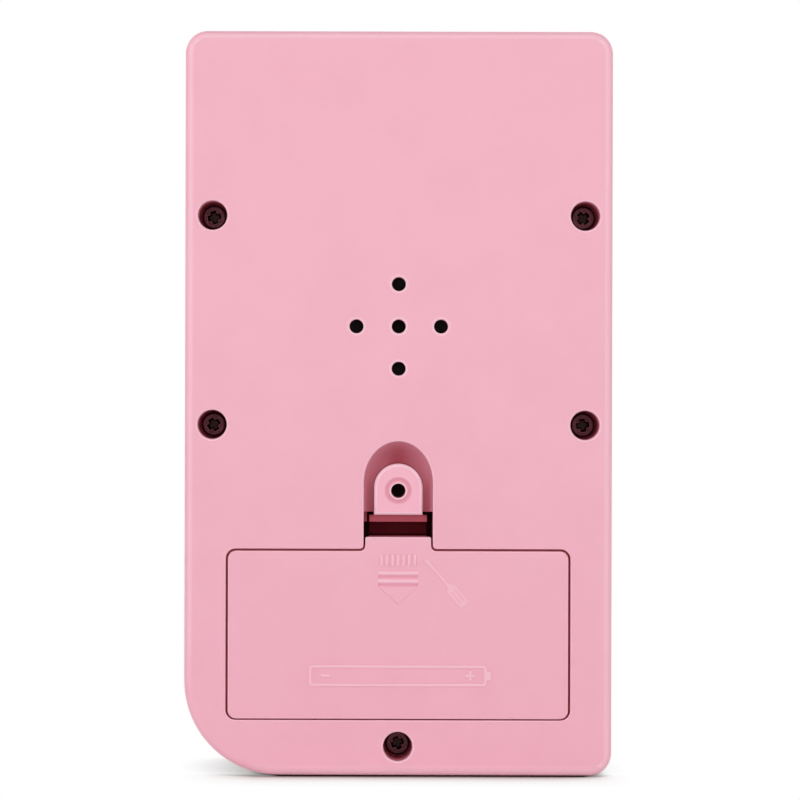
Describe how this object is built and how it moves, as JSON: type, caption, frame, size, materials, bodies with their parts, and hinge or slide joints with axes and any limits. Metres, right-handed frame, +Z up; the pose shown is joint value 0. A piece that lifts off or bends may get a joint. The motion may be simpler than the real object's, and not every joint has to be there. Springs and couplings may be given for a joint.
{
  "type": "handheld brick game console",
  "caption": "Upright one-piece handheld game console with a battery bay, sprung front keys, a screen and a rear sound grille.",
  "frame": {"origin": "middle of the flat lower edge that the console stands on", "axes": "+Z up along the case's height, +Y towards the screen, rear face with the battery cover towards -Y, +X towards the player's left hand"},
  "size_m": [0.077, 0.0288, 0.134],
  "materials": {
    "pink_case": "fine moulded satin",
    "dark_steel": "blackened, slightly worn",
    "cell_wrap": "shrink-wrapped sleeve",
    "contact_metal": "nickel plated",
    "lead_insulation": "soft insulation",
    "speaker_steel": "stamped, passivated",
    "speaker_paper": "pressed paper",
    "magnet_steel": "plated",
    "board_green": "solder mask",
    "zinc_steel": "zinc plated",
    "black_resin": "cast resin",
    "capacitor_sleeve": "printed sleeve left plain",
    "resistor_body": "lacquer",
    "white_plastic": "moulded",
    "strip_rubber": "matt",
    "reflector_foil": "satin foil",
    "display_glass": "polished",
    "foam": "open foam",
    "border_print": "printed film",
    "clear_lens": "polished acrylic",
    "mat_rubber": "matt silicone",
    "key_plastic": "satin gloss"
  },
  "bodies": {
    "console": {"rear_case": "pink_case", "front_case": "pink_case", "case_screws": "dark_steel", "battery_upper": "cell_wrap", "battery_lower": "cell_wrap", "contact_positive": "contact_metal", "contact_negative": "contact_metal", "contact_bridge": "contact_metal", "battery_leads": "lead_insulation", "speaker_frame": "speaker_steel", "speaker_cone": "speaker_paper", "speaker_magnet": "magnet_steel", "speaker_leads": "lead_insulation", "main_board": "board_green", "board_screws": "zinc_steel", "chip_blob": "black_resin", "capacitor": "capacitor_sleeve", "resistors": "resistor_body", "lcd_holder": "white_plastic", "zebra_strips": "strip_rubber", "lcd_reflector": "reflector_foil", "lcd_glass": "display_glass", "lcd_gasket": "foam", "screen_border": "border_print", "screen_lens": "clear_lens", "direction_mat": "mat_rubber", "action_mat": "mat_rubber", "function_mat": "mat_rubber"},
    "battery_cover": {"battery_cover": "pink_case"},
    "battery_latch": {"battery_latch": "pink_case"},
    "key_up": {"key_up": "key_plastic"},
    "key_down": {"key_down": "key_plastic"},
    "key_left": {"key_left": "key_plastic"},
    "key_right": {"key_right": "key_plastic"},
    "key_action": {"key_action": "key_plastic"},
    "key_function_1": {"key_function_1": "key_plastic"},
    "key_function_2": {"key_function_2": "key_plastic"},
    "key_function_3": {"key_function_3": "key_plastic"},
    "key_function_4": {"key_function_4": "key_plastic"}
  },
  "joints": [
    {"name": "battery_cover_hinge", "type": "hinge", "parent": "console", "child": "battery_cover", "pos_m": [0, -0.0142, 0.0101], "axis": [1, 0, 0], "range_deg": [0, 70]},
    {"name": "battery_latch_flex", "type": "hinge", "parent": "battery_cover", "child": "battery_latch", "pos_m": [0, -0.0053, 0.0442], "axis": [1, 0, 0], "range_deg": [0, 8], "stiffness_Nm_per_rad": 0.1},
    {"name": "key_up_press", "type": "slide", "parent": "console", "child": "key_up", "axis": [0, -1, 0], "range_m": [0, 0.001], "stiffness_N_per_m": 900, "deforming": ["direction_mat"]},
    {"name": "key_down_press", "type": "slide", "parent": "console", "child": "key_down", "axis": [0, -1, 0], "range_m": [0, 0.001], "stiffness_N_per_m": 900, "deforming": ["direction_mat"]},
    {"name": "key_left_press", "type": "slide", "parent": "console", "child": "key_left", "axis": [0, -1, 0], "range_m": [0, 0.001], "stiffness_N_per_m": 900, "deforming": ["direction_mat"]},
    {"name": "key_right_press", "type": "slide", "parent": "console", "child": "key_right", "axis": [0, -1, 0], "range_m": [0, 0.001], "stiffness_N_per_m": 900, "deforming": ["direction_mat"]},
    {"name": "key_action_press", "type": "slide", "parent": "console", "child": "key_action", "axis": [0, -1, 0], "range_m": [0, 0.001], "stiffness_N_per_m": 900, "deforming": ["action_mat"]},
    {"name": "key_function_1_press", "type": "slide", "parent": "console", "child": "key_function_1", "axis": [0, -1, 0], "range_m": [0, 0.001], "stiffness_N_per_m": 900, "deforming": ["function_mat"]},
    {"name": "key_function_2_press", "type": "slide", "parent": "console", "child": "key_function_2", "axis": [0, -1, 0], "range_m": [0, 0.001], "stiffness_N_per_m": 900, "deforming": ["function_mat"]},
    {"name": "key_function_3_press", "type": "slide", "parent": "console", "child": "key_function_3", "axis": [0, -1, 0], "range_m": [0, 0.001], "stiffness_N_per_m": 900, "deforming": ["function_mat"]},
    {"name": "key_function_4_press", "type": "slide", "parent": "console", "child": "key_function_4", "axis": [0, -1, 0], "range_m": [0, 0.001], "stiffness_N_per_m": 900, "deforming": ["function_mat"]}
  ]
}
